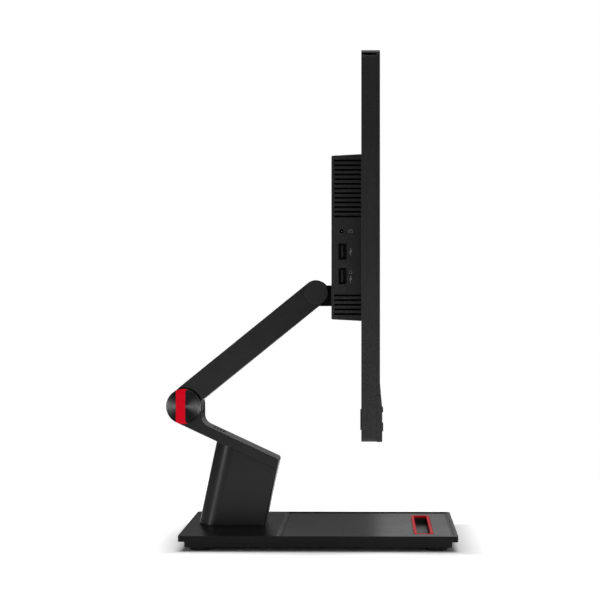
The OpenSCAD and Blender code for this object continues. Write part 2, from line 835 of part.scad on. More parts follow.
module chin_bar() {
    slope_z = chin_z1 - 12.5;
    color(black) difference() {
        across(-display_w / 2, display_w / 2)
            polygon(rounded([[bezel_y1, display_z0, 0], [chin_y, display_z0, 0.8],
                [chin_y, slope_z, 0], [front_y - 0.4 * chin_proud, chin_z1 - seam, 0.4],
                [bezel_y1, chin_z1 - seam, 0]]));
        // Room behind the skin for the speakers and the buttons
        box([-display_w / 2 + frame_wall, chin_y + 2, display_z0 + frame_wall],
            [display_w / 2 - frame_wall, bezel_y1 + 1, chin_z1 - 3]);
        // Speaker slots
        for (s = [-1, 1], i = [0:4])
            translate([s * speaker_x, chin_y, speaker_z - 5 + i * 2.5])
                cube([62, 8, 1.1], center = true);
        peg(button_x, power_z, power_r + 0.3, chin_y - 1, chin_y + 4);
        for (i = [0:2])
            translate([button_x + i * button_pitch, chin_y, menu_z])
                cube([menu_w + 0.6, 8, menu_h + 0.6], center = true);
    }
}

module corner_bumpers() {
    color("#151516") for (s = [-1, 1])
        translate([s * (display_w / 2 - 10), back_y, display_z0 + 19.3]) rotate([-90, 0, 0])
            linear_extrude(0.9) round_rect(16, 18, 2);
}

// ---- Screen ----

module screen_glass() {
    y0 = front_y + 0.15;
    color("#0c0d10") box([-picture_w / 2 + 0.1, y0, chin_z1 + 0.1],
                         [picture_w / 2 - 0.1, y0 + 0.8, picture_z1 - 0.1]);
}

module lcd_panel() {
    y0 = front_y + 1.1;
    color("#303338") {
        box([-picture_w / 2 + 0.2, y0, chin_z1 + 0.2],
            [picture_w / 2 - 0.2, bezel_y1 + 0.2, picture_z1 - 0.2]);
        box([-picture_w / 2 - 2.5, bezel_y1 + 0.1, chin_z1 + 0.2],
            [picture_w / 2 + 2.5, bezel_y1 + 3, picture_z1 - 0.2]);
    }
}

module backlight() {
    y0 = bezel_y1 + 3.15;
    color("#d8d8d4") box([-picture_w / 2 - 2, y0, chin_z1 - 2],
                         [picture_w / 2 + 2, chassis_y0 - 0.5, picture_z1 - 1]);
}

module main_chassis() {
    y1 = chassis_y0 + chassis_t;
    color(steel) difference() {
        union() {
            panel(display_w - 2 * frame_wall - 10, display_z0 + 33, body_z1 - 6,
                  chassis_y0, y1, 4);
            studs() rotate([90, 0, 0]) translate([0, 0, plate_t])
                cylinder(r = stud_r, h = plate_y1 - plate_t - y1);
        }
        studs() rotate([90, 0, 0]) cylinder(r = mount_screw_r + seat_gap, h = plate_t + 8);
        for (x = [-190:95:190]) panel_hole(x, display_z0 + 60, 60, 30);
        for (x = [-142.5:95:142.5]) panel_hole(x, body_z1 - 45, 60, 40);
    }
}

// Window through the chassis
module panel_hole(x, z, w, h) {
    translate([x, chassis_y0, z]) rotate([90, 0, 0])
        linear_extrude(10, center = true) round_rect(w, h, 4);
}

// ---- Computer ----

module motherboard() {
    y0 = board_y1 - board_t;
    color(board_green) {
        box([board_x0, y0, board_z0], [board_x1, board_y1, board_z1]);
        box([board_x1 - 52, board_y1 - eps, board_z1 - 47],
            [board_x1 - 15, board_y1 + 3, board_z1 - 10]);
        peg(board_x1 - 20, board_z0 + 50, 10, board_y1 - eps, board_y1 + 3.2);
        for (i = [0:5]) peg(board_x0 + 30 + i * 11, board_z1 - 8, 3, board_y1 - eps, board_y1 + 6);
        for (i = [0:2]) box([board_x1 - 46 + i * 13, board_y1 - eps, board_z0 + 68],
                            [board_x1 - 36 + i * 13, board_y1 + 3.5, board_z0 + 76]);
    }
}

module cpu_cooler() {
    y0 = board_y1 + 3.15;
    pipe_z = fan_z + 36.5;
    fin_z = fan_z + 31;
    color("#b87333") {
        box([board_x1 - 54, y0, board_z1 - 49], [board_x1 - 13, y0 + 1.5, board_z1 - 8]);
        box([board_x1 - 40, y0 + 1.4, pipe_z - 4], [fan_x + 26, y0 + 4.2, pipe_z + 4]);
    }
    color("#a9abb0") {
        box([fan_x - 28, board_y1 - 1, fin_z], [fan_x + 28, board_y1 + 0.2, hump_z1 - 6.5]);
        for (i = [0:fin_count - 1])
            box([fan_x - 27.4 + i * 3.2, board_y1, fin_z],
                [fan_x - 26.9 + i * 3.2, board_y1 + 8.5, hump_z1 - 6.5]);
    }
}

module fan_housing() {
    color("#1d1e20") difference() {
        box([fan_x - 30, board_y1 - 1.2, fan_z - 30], [fan_x + 30, board_y1 + 8.5, fan_z + 30.5]);
        peg(fan_x, fan_z, fan_r + 2, board_y1, board_y1 + 7.3);
        box([fan_x - 22, board_y1, fan_z], [fan_x + 26, board_y1 + 7.3, fan_z + 31]);
        peg(fan_x, fan_z, 17, board_y1 + 5, board_y1 + 10);
    }
}

module fan_rotor() {
    y0 = board_y1 + 0.5;
    color("#2b2d30") difference() {
        union() {
            peg(fan_x, fan_z, 10, y0, y0 + 6.3);
            peg(fan_x, fan_z, 13, y0, y0 + 0.8);
            for (i = [0:16])
                translate([fan_x, y0, fan_z]) rotate([0, i * 360 / 17, 0])
                    translate([0, 0, 9]) rotate([0, 18, 0]) cube([1, 5.8, fan_r - 10]);
        }
        peg(fan_x, fan_z, 1.5, y0 - 1, y0 + 3);
    }
}

module memory_modules() {
    card_w = 67.6;
    card_h = 30;
    color(board_green) {
        for (i = [0, 1]) {
            z0 = board_z0 + 18 + i * (card_h + 4);
            box([card_x - 2, board_y1, z0 - 4], [card_x + card_w + 2, board_y1 + 4.2, z0 - 0.1]);
        }
        // One of the two sockets holds a module
        box([card_x, board_y1 + 2, board_z0 + 18],
            [card_x + card_w, board_y1 + 3.2, board_z0 + 18 + card_h]);
    }
}

module storage_drive() {
    x0 = card_x;
    z0 = board_z0 + 60;
    color("#24314a") {
        box([x0, board_y1 + 2, z0], [x0 + 80, board_y1 + 3, z0 + 22]);
        box([x0 + 78, board_y1, z0 + 1], [x0 + 84, board_y1 + 4.2, z0 + 21]);
        for (i = [0:2]) box([x0 + 8 + i * 24, board_y1 + 3 - eps, z0 + 4],
                            [x0 + 24 + i * 24, board_y1 + 4.2, z0 + 18]);
    }
}

module wireless_card() {
    x0 = card_x;
    z0 = board_z0 + 88;
    color(board_green) {
        box([x0, board_y1 + 2, z0], [x0 + 30, board_y1 + 2.8, z0 + 22]);
        box([x0 + 28, board_y1, z0 + 1], [x0 + 34, board_y1 + 4, z0 + 21]);
        box([x0 + 4, board_y1 + 2.8 - eps, z0 + 4], [x0 + 20, board_y1 + 4, z0 + 18]);
    }
}

// Socket with its mouth on the user's left, centred at height z
module usb_port(z) {
    x0 = -wall_x + 0.4;
    a = [x0, usb_y - usb_d / 2, z - usb_l / 2];
    b = [x0 + port_depth, usb_y + usb_d / 2, z + usb_l / 2];
    s = [0, usb_shell, usb_shell];
    color("#3a3b3e") {
        difference() {
            box(a - s, b + s);
            box(a - [1, 0, 0], b - [1.5, 0, 0]);
        }
        box([x0 + 1.5, usb_y - 0.2, z - usb_l / 2 + 0.8],
            [b[0] - 1, usb_y + 1.6, z + usb_l / 2 - 0.8]);
    }
}

module usb_port_upper() {
    usb_port(usb_z[0]);
}

module usb_port_lower() {
    usb_port(usb_z[1]);
}

module headset_jack() {
    x0 = -wall_x - 0.15;
    color("#0e0e0f") difference() {
        union() {
            shaft([jack_y, jack_z], collar_r, x0, x0 + 4);
            box([-wall_x + cover_wall + 0.2, board_y1, jack_z - 4],
                [x0 + port_depth + 1.5, board_y1 + 7.4, jack_z + 4]);
        }
        shaft([jack_y, jack_z], jack_r, x0 - 1, x0 + port_depth);
    }
}

// Hollow socket number i of the downward row, open at the bottom
module down_port(i) {
    p = down_ports[i];
    w = port_wall;
    difference() {
        box([p[0] - p[1] / 2, board_y1, port_z0], [p[0] + p[1] / 2, board_y1 + p[2], port_z0 + 13]);
        box([p[0] - p[1] / 2 + w, board_y1 + w, port_z0 - 1],
            [p[0] + p[1] / 2 - w, board_y1 + p[2] - w, port_z0 + 12]);
    }
}

module network_port() {
    color("#9a9ca0") down_port(0);
}

module video_ports() {
    color("#9a9ca0") for (i = [1, 2]) {
        down_port(i);
        translate([down_ports[i][0] - 5, board_y1 + 2.2, port_z0 + 1.5]) cube([10, 1.2, 11]);
    }
}

module power_inlet() {
    color("#0e0e0f") down_port(3);
}

module speaker(s) {
    color("#1a1b1d")
        box([s * speaker_x - speaker_w / 2, chin_y + 2.3, speaker_z - speaker_h / 2],
            [s * speaker_x + speaker_w / 2, chassis_y0 - 1.5, speaker_z + speaker_h / 2]);
}

module speaker_left() {
    speaker(-1);
}

module speaker_right() {
    speaker(1);
}

// ---- Camera and buttons ----

module webcam_module() {
    color("#1a1b1d") {
        box([-6, front_y + 1.6, picture_z1 + 0.4], [6, bezel_y1 - 0.1, body_z1 - 0.2]);
        peg(0, lens_z, lens_r - 0.3, front_y + 1.45, front_y + 2);
    }
}

module camera_shutter() {
    x0 = shutter_x - 3.2;
    color(red) {
        box([x0, front_y + 0.75, picture_z1 + 0.35], [x0 + 6.4, front_y + 1.25, cap_z0 + 1.6]);
        box([x0 + 0.6, front_y - 0.35, cap_z0 + 0.2], [x0 + 5.8, front_y + 0.8, cap_z0 + 1.6]);
    }
}

module button_board() {
    y0 = bezel_y1 + 0.5;
    color(board_green) {
        box([button_x - 8, y0, display_z0 + 5],
            [button_x + 2 * button_pitch + 8, y0 + 1.2, display_z0 + 32]);
        peg(button_x, power_z, 2, button_back + power_travel + switch_room, y0 + eps);
        for (i = [0:2])
            peg(button_x + i * button_pitch, menu_z, 1.2,
                button_back + menu_travel + switch_room, y0 + eps);
    }
}

module power_button() {
    color(satin) {
        peg(button_x, power_z, power_r, chin_y - button_proud, button_back - 0.6);
        peg(button_x, power_z, power_r + 1, button_back - 0.7, button_back);
    }
}

module menu_button(i) {
    x = button_x + (i - 1) * button_pitch;
    color(satin) {
        box([x - menu_w / 2, chin_y - menu_travel - 0.25, menu_z - menu_h / 2],
            [x + menu_w / 2, button_back - 0.6, menu_z + menu_h / 2]);
        box([x - menu_w / 2 - 0.8, button_back - 0.7, menu_z - menu_h / 2 - 0.8],
            [x + menu_w / 2 + 0.8, button_back, menu_z + menu_h / 2 + 0.8]);
    }
}

module menu_button_1() {
    menu_button(1);
}

module menu_button_2() {
    menu_button(2);
}

module menu_button_3() {
    menu_button(3);
}

base_top_plate();
tray_insert();
phone_slot_liner();
base_weight_plate();
base_feet();
base_screws();
column_shell();
column_core();
neck_casting();
deck_vents();
hinge_cap_left();
hinge_cap_right();
cap_bands();
lower_axle();
link_anchor();
counter_springs();
friction_washers();
arm_frame();
arm_top_cover();
arm_pivot_discs();
level_link();
upper_axle();
level_hub();
tilt_bracket();
mount_plate();
mount_screws();
hump_cover();
io_panel();
rear_cover();
mid_frame();
front_bezel();
top_cap();
chin_bar();
screen_glass();
lcd_panel();
backlight();
main_chassis();
motherboard();
cpu_cooler();
fan_housing();
fan_rotor();
memory_modules();
storage_drive();
wireless_card();
usb_port_upper();
usb_port_lower();
headset_jack();
network_port();
video_ports();
power_inlet();
speaker_left();
speaker_right();
webcam_module();
camera_shutter();
button_board();
power_button();
menu_button_1();
menu_button_2();
menu_button_3();
corner_bumpers();
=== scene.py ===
import json
import math

import bmesh
import bpy
from mathutils import Matrix, Vector


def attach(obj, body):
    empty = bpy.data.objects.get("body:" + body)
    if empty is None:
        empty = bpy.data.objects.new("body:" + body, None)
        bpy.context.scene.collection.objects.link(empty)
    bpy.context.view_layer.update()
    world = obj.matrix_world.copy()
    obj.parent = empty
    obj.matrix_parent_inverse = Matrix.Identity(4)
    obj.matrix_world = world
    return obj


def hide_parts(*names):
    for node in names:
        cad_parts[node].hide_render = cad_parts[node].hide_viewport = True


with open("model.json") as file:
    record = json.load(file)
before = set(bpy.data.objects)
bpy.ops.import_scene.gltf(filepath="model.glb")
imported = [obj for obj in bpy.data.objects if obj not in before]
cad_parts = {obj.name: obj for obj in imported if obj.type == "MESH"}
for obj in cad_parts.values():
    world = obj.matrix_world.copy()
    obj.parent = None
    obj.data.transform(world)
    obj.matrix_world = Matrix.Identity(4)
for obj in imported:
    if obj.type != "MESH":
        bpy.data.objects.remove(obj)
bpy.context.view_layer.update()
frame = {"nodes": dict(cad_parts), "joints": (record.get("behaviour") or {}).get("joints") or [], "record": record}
scene = bpy.context.scene
mm = 0.001


# Shader helpers

def feed(tree, node, rows):
    # Links sockets into a node's inputs, and sets the plain values
    for key, value in rows.items():
        if isinstance(value, bpy.types.NodeSocket):
            tree.links.new(value, node.inputs[key])
        elif value is not None:
            node.inputs[key].default_value = value
    return node


def newGroup(name, inputs, outputs):
    tree = bpy.data.node_groups.new(name, "ShaderNodeTree")
    for label, kind, value in inputs:
        socket = tree.interface.new_socket(name=label, in_out="INPUT", socket_type=kind)
        socket.default_value = value
    for label, kind in outputs:
        tree.interface.new_socket(name=label, in_out="OUTPUT", socket_type=kind)
    return tree, tree.nodes.new("NodeGroupInput"), tree.nodes.new("NodeGroupOutput")


def mathNode(tree, operation, first, second, clamp=False):
    node = tree.nodes.new("ShaderNodeMath")
    node.operation = operation
    node.use_clamp = clamp
    return feed(tree, node, {0: first, 1: second}).outputs[0]


def vectorNode(tree, operation, first, second=None):
    node = tree.nodes.new("ShaderNodeVectorMath")
    node.operation = operation
    feed(tree, node, {0: first, 1: second})
    return node.outputs["Value" if operation == "LENGTH" else "Vector"]


def splitNode(tree, vector):
    return feed(tree, tree.nodes.new("ShaderNodeSeparateXYZ"), {0: vector}).outputs


def mixColour(tree, amount, first, second):
    node = tree.nodes.new("ShaderNodeMix")
    node.data_type = "RGBA"
    return feed(tree, node, {0: amount, 6: first, 7: second}).outputs[2]


def noiseNode(tree, vector, scale, detail=2.0, roughness=0.5):
    node = tree.nodes.new("ShaderNodeTexNoise")
    feed(tree, node, {"Detail": detail, "Roughness": roughness, "Scale": scale, "Vector": vector})
    return node.outputs["Fac"]


def rangeNode(tree, value, low, high, toLow=0.0, toHigh=1.0, kind="SMOOTHSTEP"):
    node = tree.nodes.new("ShaderNodeMapRange")
    node.interpolation_type = kind
    feed(tree, node, {"Value": value, "From Min": low, "From Max": high, "To Min": toLow,
                      "To Max": toHigh})
    return node.outputs["Result"]


def objectPlace(tree):
    return tree.nodes.new("ShaderNodeTexCoord").outputs["Object"]


# Camera, lights and floor

viewSettings = {
    "distance": 2.019,        # from the machine's middle plane to the camera
    "side": -0.06305,         # the camera's place front to back
    "height": 0.2404,
    "lens": 119.4,
    "sensor": 36.0,
    "yaw": 1.0,               # degrees that the camera is turned towards the hinge
    "shiftX": -0.0638,
    "shiftY": 0.0023,
    "farClip": 60,
}


def addCamera(s):
    data = bpy.data.cameras.new("sideCamera")
    data.lens = s["lens"]
    data.sensor_width = s["sensor"]
    data.shift_x = s["shiftX"]
    data.shift_y = s["shiftY"]
    data.clip_end = s["farClip"]
    camera = bpy.data.objects.new("sideCamera", data)
    camera.location = (-s["distance"], s["side"], s["height"])
    camera.rotation_euler = (math.radians(90), 0, math.radians(-90 + s["yaw"]))
    scene.collection.objects.link(camera)
    scene.camera = camera


lightSettings = {
    # name: place, aim, width, height, watts
    "overhead": ((0.0, 0.0, 2.2), (0.0, 0.0, 0.2), 2.4, 2.4, 44),
    "frontCard": ((1.1, -0.72, 0.49), (0.0, -0.72, 0.49), 1.3, 0.74, 1.6),
    "deckCard": ((1.1, 0.10, 0.36), (0.0, 0.10, 0.36), 0.34, 0.26, 0.1),
    "frontStrip": ((-1.3, -2.0, 0.3), (0.0, 0.1, 0.15), 0.3, 1.0, 8),
    "rearStrip": ((-1.3, 2.0, 0.3), (0.0, 0.1, 0.15), 0.3, 1.0, 8),
    "lowFill": ((-1.0, -0.30, 0.10), (-0.27, -0.06, 0.10), 0.5, 0.2, 0.8),
}


def addLights(rows):
    for name, (place, aim, width, height, watts) in rows.items():
        data = bpy.data.lights.new(name, "AREA")
        data.shape = "RECTANGLE"
        data.size = width
        data.size_y = height
        data.energy = watts
        lamp = bpy.data.objects.new(name, data)
        lamp.location = place
        way = Vector(aim) - Vector(place)
        lamp.rotation_euler = way.to_track_quat("-Z", "Y").to_euler()
        lamp.visible_camera = False
        scene.collection.objects.link(lamp)


# Strength on each side and overhead, and the directions between which it changes
skySettings = {"viewer": 0.15, "behind": 0.05, "across": (-0.6, 0.7),
               "above": 0.09, "rise": (0.15, 0.9)}


def addSky(s):
    # White to the camera; to the surfaces a dim room, lighter on the viewer's side and above
    world = bpy.data.worlds.new("studio")
    world.use_nodes = True
    scene.world = world
    tree = world.node_tree
    tree.nodes.clear()
    white = (1, 1, 1, 1)
    way = splitNode(tree, tree.nodes.new("ShaderNodeTexCoord").outputs["Generated"])
    across = rangeNode(tree, way["X"], *s["across"], s["viewer"], s["behind"], "LINEAR")
    above = rangeNode(tree, way["Z"], *s["rise"], 0.0, s["above"], "LINEAR")
    seen = feed(tree, tree.nodes.new("ShaderNodeBackground"), {"Color": white, "Strength": 1.0})
    lit = feed(tree, tree.nodes.new("ShaderNodeBackground"),
               {"Color": white, "Strength": mathNode(tree, "ADD", across, above)})
    ray = tree.nodes.new("ShaderNodeLightPath").outputs["Is Camera Ray"]
    mix = feed(tree, tree.nodes.new("ShaderNodeMixShader"),
               {0: ray, 1: lit.outputs[0], 2: seen.outputs[0]})
    feed(tree, tree.nodes.new("ShaderNodeOutputWorld"), {"Surface": mix.outputs[0]})


floorSettings = {"radius": 0.75, "segments": 96, "white": 0.9, "rough": 0.9, "level": 0.1,
                 "glow": 0.5, "middle": (0.0, -0.010, 0.0), "half": (0.104, 0.130, 1.0),
                 "fade": 0.035}


def addFloor(s):
    form = bmesh.new()
    bmesh.ops.create_circle(form, cap_ends=True, segments=s["segments"], radius=s["radius"])
    mesh = bpy.data.meshes.new("studioFloor")
    form.to_mesh(mesh)
    form.free()
    floor = bpy.data.objects.new("studioFloor", mesh)
    scene.collection.objects.link(floor)
    material = bpy.data.materials.new("studioFloorWhite")
    material.use_nodes = True
    tree = material.node_tree
    # The glow fades out under the base, so that the contact shadow stays dark
    offset = vectorNode(tree, "SUBTRACT", objectPlace(tree), s["middle"])
    past = splitNode(tree, vectorNode(tree, "SUBTRACT", vectorNode(tree, "ABSOLUTE", offset),
                                      s["half"]))
    most = mathNode(tree, "MAXIMUM", past["X"], past["Y"])
    feed(tree, tree.nodes["Principled BSDF"],
         {"Base Color": (s["white"], s["white"], s["white"], 1), "Roughness": s["rough"],
          "Specular IOR Level": s["level"], "Emission Color": (1, 1, 1, 1),
          "Emission Strength": rangeNode(tree, most, 0.0, s["fade"], 0.0, s["glow"], "LINEAR")})
    mesh.materials.append(material)


addCamera(viewSettings)
addLights(lightSettings)
addSky(skySettings)
addFloor(floorSettings)
scene.view_settings.view_transform = "Standard"
print("camera, lights and floor are in place")


# Shared effects

def buildMouldedSkin():
    # Fine moulded or powder-coated texture, handling smudges, dust on top and rubbed edges
    tree, given, result = newGroup(
        "mouldedSkin",
        [("Colour", "NodeSocketColor", (0.02, 0.02, 0.022, 1)),
         ("Grain per metre", "NodeSocketFloat", 2200.0),
         ("Roughness", "NodeSocketFloat", 0.45),
         ("Smudge", "NodeSocketFloat", 0.08),
         ("Dust", "NodeSocketFloat", 0.03),
         ("Rub", "NodeSocketFloat", 0.5)],
        [("Colour", "NodeSocketColor"), ("Roughness", "NodeSocketFloat"),
         ("Height", "NodeSocketFloat")])
    asked = given.outputs
    place = objectPlace(tree)

    def product(first, second):
        return mathNode(tree, "MULTIPLY", first, second)

    fine = noiseNode(tree, place, asked["Grain per metre"], 2.0, 0.6)
    pebble = tree.nodes.new("ShaderNodeTexVoronoi")
    pebble.feature = "SMOOTH_F1"
    feed(tree, pebble, {"Scale": asked["Grain per metre"], "Vector": place})
    height = mathNode(tree, "ADD", product(fine, 0.6), product(pebble.outputs["Distance"], 0.55))
    cloud = noiseNode(tree, place, 14.0, 4.0, 0.6)
    patch = noiseNode(tree, place, 55.0, 3.0, 0.55)
    smudge = product(rangeNode(tree, cloud, 0.35, 0.7, -0.5, 0.5), asked["Smudge"])
    speck = product(rangeNode(tree, patch, 0.4, 0.65, -0.5, 0.5), product(asked["Smudge"], 0.5))
    edge = tree.nodes.new("ShaderNodeAttribute")
    edge.attribute_name = "edge"
    rubNoise = rangeNode(tree, noiseNode(tree, place, 160.0, 3.0, 0.7), 0.35, 0.7)
    rub = product(product(edge.outputs["Fac"], rubNoise), asked["Rub"])
    rough = mathNode(tree, "ADD", asked["Roughness"], mathNode(tree, "ADD", smudge, speck))
    rough = mathNode(tree, "SUBTRACT", rough, product(rub, 0.12), True)
    facing = splitNode(tree, tree.nodes.new("ShaderNodeNewGeometry").outputs["Normal"])
    upward = rangeNode(tree, facing["Z"], 0.5, 1.0)
    flecks = rangeNode(tree, noiseNode(tree, place, 900.0, 2.0, 0.7), 0.56, 0.72)
    dust = product(product(upward, flecks), asked["Dust"])
    toned = mixColour(tree, product(rangeNode(tree, cloud, 0.3, 0.75), 0.10),
                      asked["Colour"], (0.03, 0.03, 0.032, 1))
    rubbed = mixColour(tree, product(rub, 0.10), toned, (0.16, 0.16, 0.165, 1))
    dusted = mixColour(tree, dust, rubbed, (0.45, 0.44, 0.42, 1))
    feed(tree, result, {"Colour": dusted, "Roughness": rough, "Height": height})
    return tree


def buildDrawnMetal():
    # Grain drawn along one axis, with fine scratches
    tree, given, result = newGroup(
        "drawnMetal",
        [("Colour", "NodeSocketColor", (0.4, 0.41, 0.43, 1)),
         ("Stretch", "NodeSocketVector", (60.0, 2500.0, 2500.0)),
         ("Roughness", "NodeSocketFloat", 0.35)],
        [("Colour", "NodeSocketColor"), ("Roughness", "NodeSocketFloat"),
         ("Height", "NodeSocketFloat")])
    place = objectPlace(tree)
    scaled = vectorNode(tree, "MULTIPLY", place, given.outputs["Stretch"])
    lines = noiseNode(tree, scaled, 1.0, 3.0, 0.6)
    cloud = noiseNode(tree, place, 40.0, 3.0, 0.5)
    change = mathNode(tree, "MULTIPLY", rangeNode(tree, cloud, 0.3, 0.7, -0.5, 0.5), 0.12)
    rough = mathNode(tree, "ADD", given.outputs["Roughness"], change, True)
    depth = mathNode(tree, "MULTIPLY", rangeNode(tree, lines, 0.3, 0.7), 0.35)
    dark = mixColour(tree, depth, given.outputs["Colour"], (0.12, 0.12, 0.125, 1))
    feed(tree, result, {"Colour": dark, "Roughness": rough, "Height": lines})
    return tree


mouldedSkin = buildMouldedSkin()
drawnMetal = buildDrawnMetal()


# Materials

def startMaterial(name, metallic=0.0, level=0.5):
    material = bpy.data.materials.new(name)
    material.use_nodes = True
    tree = material.node_tree
    shader = feed(tree, tree.nodes["Principled BSDF"],
                  {"Metallic": metallic, "Specular IOR Level": level})
    return material, tree, shader


def addBump(tree, shader, height, strength, distance):
    bump = feed(tree, tree.nodes.new("ShaderNodeBump"),
                {"Strength": strength, "Distance": distance, "Height": height})
    tree.links.new(bump.outputs["Normal"], shader.inputs["Normal"])


def groupMaterial(name, group, rows, metallic, level, bump, depth):
    # A material whose colour, roughness and bump come from a shared effect
    material, tree, shader = startMaterial(name, metallic, level)
    node = tree.nodes.new("ShaderNodeGroup")
    node.node_tree = group
    feed(tree, node, rows)
    feed(tree, shader, {"Base Color": node.outputs["Colour"],
                        "Roughness": node.outputs["Roughness"]})
    addBump(tree, shader, node.outputs["Height"], bump, depth)
    return material


def skinMaterial(name, colour, rough, grain, bump, smudge=0.08, dust=0.03, rub=0.5, level=0.3):
    rows = {"Colour": (*colour, 1), "Grain per metre": grain, "Roughness": rough,
            "Smudge": smudge, "Dust": dust, "Rub": rub}
    return groupMaterial(name, mouldedSkin, rows, 0.0, level, bump, 0.0002)


def metalMaterial(name, colour, rough, stretch=(60.0, 2500.0, 2500.0)):
    rows = {"Colour": (*colour, 1), "Stretch": stretch, "Roughness": rough}
    return groupMaterial(name, drawnMetal, rows, 1.0, 0.5, 0.15, 0.0001)


# The bright colour is the painted highlight of the cap's fans; dark is the cap's own colour
spunSettings = {"ringsPerMetre": 5200.0, "bump": 0.25, "depth": 0.00006, "sharpness": 9.0,
                "dark": (0.026, 0.026, 0.027, 1), "bright": (0.21, 0.21, 0.215, 1),
                "groove": (0.02, 0.02, 0.021, 1), "grooveShare": 0.35, "rough": (0.30, 0.38)}


def spunMaterial(name, centre, s):
    # Turned face with rings about the hinge's axis, and two brighter fans painted into its colour as a painted
    # highlight
    material, tree, shader = startMaterial(name, 1.0)
    place = objectPlace(tree)
    flat = vectorNode(tree, "MULTIPLY", vectorNode(tree, "SUBTRACT", place, centre), (0, 1, 1))
    reach = vectorNode(tree, "LENGTH", flat)
    rings = tree.nodes.new("ShaderNodeTexNoise")
    rings.noise_dimensions = "1D"
    feed(tree, rings, {"Scale": s["ringsPerMetre"], "Detail": 3.0, "W": reach})
    addBump(tree, shader, rings.outputs["Fac"], s["bump"], s["depth"])
    # Two brighter fans painted into the base colour are a painted highlight, standing for the one that a turned
    # face shows
    share = mathNode(tree, "DIVIDE", mathNode(tree, "ABSOLUTE", splitNode(tree, flat)["Y"], 0.0),
                     mathNode(tree, "MAXIMUM", reach, 0.0001))
    paintedHighlightFan = mathNode(tree, "POWER", share, s["sharpness"], True)
    groove = rangeNode(tree, rings.outputs["Fac"], 0.3, 0.7, 0.0, s["grooveShare"])
    turn = tree.nodes.new("ShaderNodeTangent")
    turn.direction_type = "RADIAL"
    turn.axis = "X"
    feed(tree, shader, {
        "Base Color": mixColour(tree, groove, mixColour(tree, paintedHighlightFan, s["dark"], s["bright"]),
                                s["groove"]),
        "Roughness": rangeNode(tree, noiseNode(tree, place, 90.0, 3.0), 0.3, 0.7, *s["rough"]),
        "Anisotropic": 0.9, "Anisotropic Rotation": 0.25, "Tangent": turn.outputs[0]})
    return material


def boardMaterial(name):
    # Green solder mask with fine tracks under it
    material, tree, shader = startMaterial(name)
    place = objectPlace(tree)
    tracks = tree.nodes.new("ShaderNodeTexVoronoi")
    tracks.feature = "DISTANCE_TO_EDGE"
    feed(tree, tracks, {"Scale": 320.0, "Vector": place})
    lines = rangeNode(tree, tracks.outputs["Distance"], 0.03, 0.09, 1.0, 0.0)
    feed(tree, shader, {
        "Base Color": mixColour(tree, lines, (0.006, 0.05, 0.022, 1), (0.03, 0.16, 0.06, 1)),
        "Roughness": rangeNode(tree, noiseNode(tree, place, 500.0), 0.3, 0.7, 0.28, 0.45)})
    addBump(tree, shader, lines, 0.3, 0.00008)
    return material


def glassMaterial(name):
    # Dark cover glass with an anti-glare etch and the traces of a wipe
    material, tree, shader = startMaterial(name)
    place = objectPlace(tree)
    wipe = noiseNode(tree, place, 9.0, 4.0, 0.6)
    feed(tree, shader, {
        "Base Color": mixColour(tree, rangeNode(tree, wipe, 0.3, 0.7),
                                (0.004, 0.0042, 0.005, 1), (0.007, 0.0075, 0.009, 1)),
        "Roughness": rangeNode(tree, wipe, 0.3, 0.7, 0.16, 0.24)})
    addBump(tree, shader, noiseNode(tree, place, 5200.0, 1.0), 0.06, 0.00004)
    return material


def namedPlace(rows, name):
    return Vector(next(row["pos_m"] for row in rows if row["name"] == name))


hingePlace = namedPlace(frame["joints"], "arm_lift")
tiltPlace = namedPlace(frame["joints"], "tilt")
jackPlace = namedPlace(frame["record"]["mounts"], "headset_socket")

# One finish for each material slot of the record, then those of single pieces
finishes = {
    "stand_paint": skinMaterial("powderCoatBlack", (0.0145, 0.0145, 0.015), 0.32, 2600.0, 0.10,
                                smudge=0.04),
    "tray_soft": skinMaterial("softTouchBlack", (0.005, 0.005, 0.0055), 0.25, 3400.0, 0.04,
                              smudge=0.03, dust=0.01, level=0.15),
    "housing": skinMaterial("texturedHousingBlack", (0.017, 0.017, 0.0175), 0.46, 1900.0, 0.30),
    "black_trim": skinMaterial("satinTrimBlack", (0.006, 0.006, 0.0065), 0.38, 3000.0, 0.15),
    "spun_cap": spunMaterial("spunDarkMetal", hingePlace, spunSettings),
    "red_trim": skinMaterial("satinRed", (0.80, 0.001, 0.016), 0.42, 3200.0, 0.08, dust=0.0,
                             rub=0.0, smudge=0.05, level=0.06),
    "rubber": skinMaterial("mattRubber", (0.009, 0.009, 0.009), 0.78, 1500.0, 0.4, rub=0.1),
    "steel": metalMaterial("zincPlatedSteel", (0.40, 0.41, 0.43), 0.36),
    "brass": metalMaterial("plainBrass", (0.62, 0.45, 0.18), 0.32),
    "screen": glassMaterial("antiGlareGlass"),
    "panel": skinMaterial("pictureLayer", (0.006, 0.006, 0.008), 0.3, 5000.0, 0.05),
    "diffuser": skinMaterial("whiteDiffuser", (0.62, 0.62, 0.60), 0.6, 2000.0, 0.1, dust=0.0),
    "board": boardMaterial("solderMaskGreen"),
    "cooler": metalMaterial("bareAluminium", (0.62, 0.62, 0.64), 0.34, (2500.0, 2500.0, 60.0)),
    "socket_metal": metalMaterial("platedSocketShell", (0.17, 0.17, 0.18), 0.34,
                                  (80.0, 1800.0, 1800.0)),
}
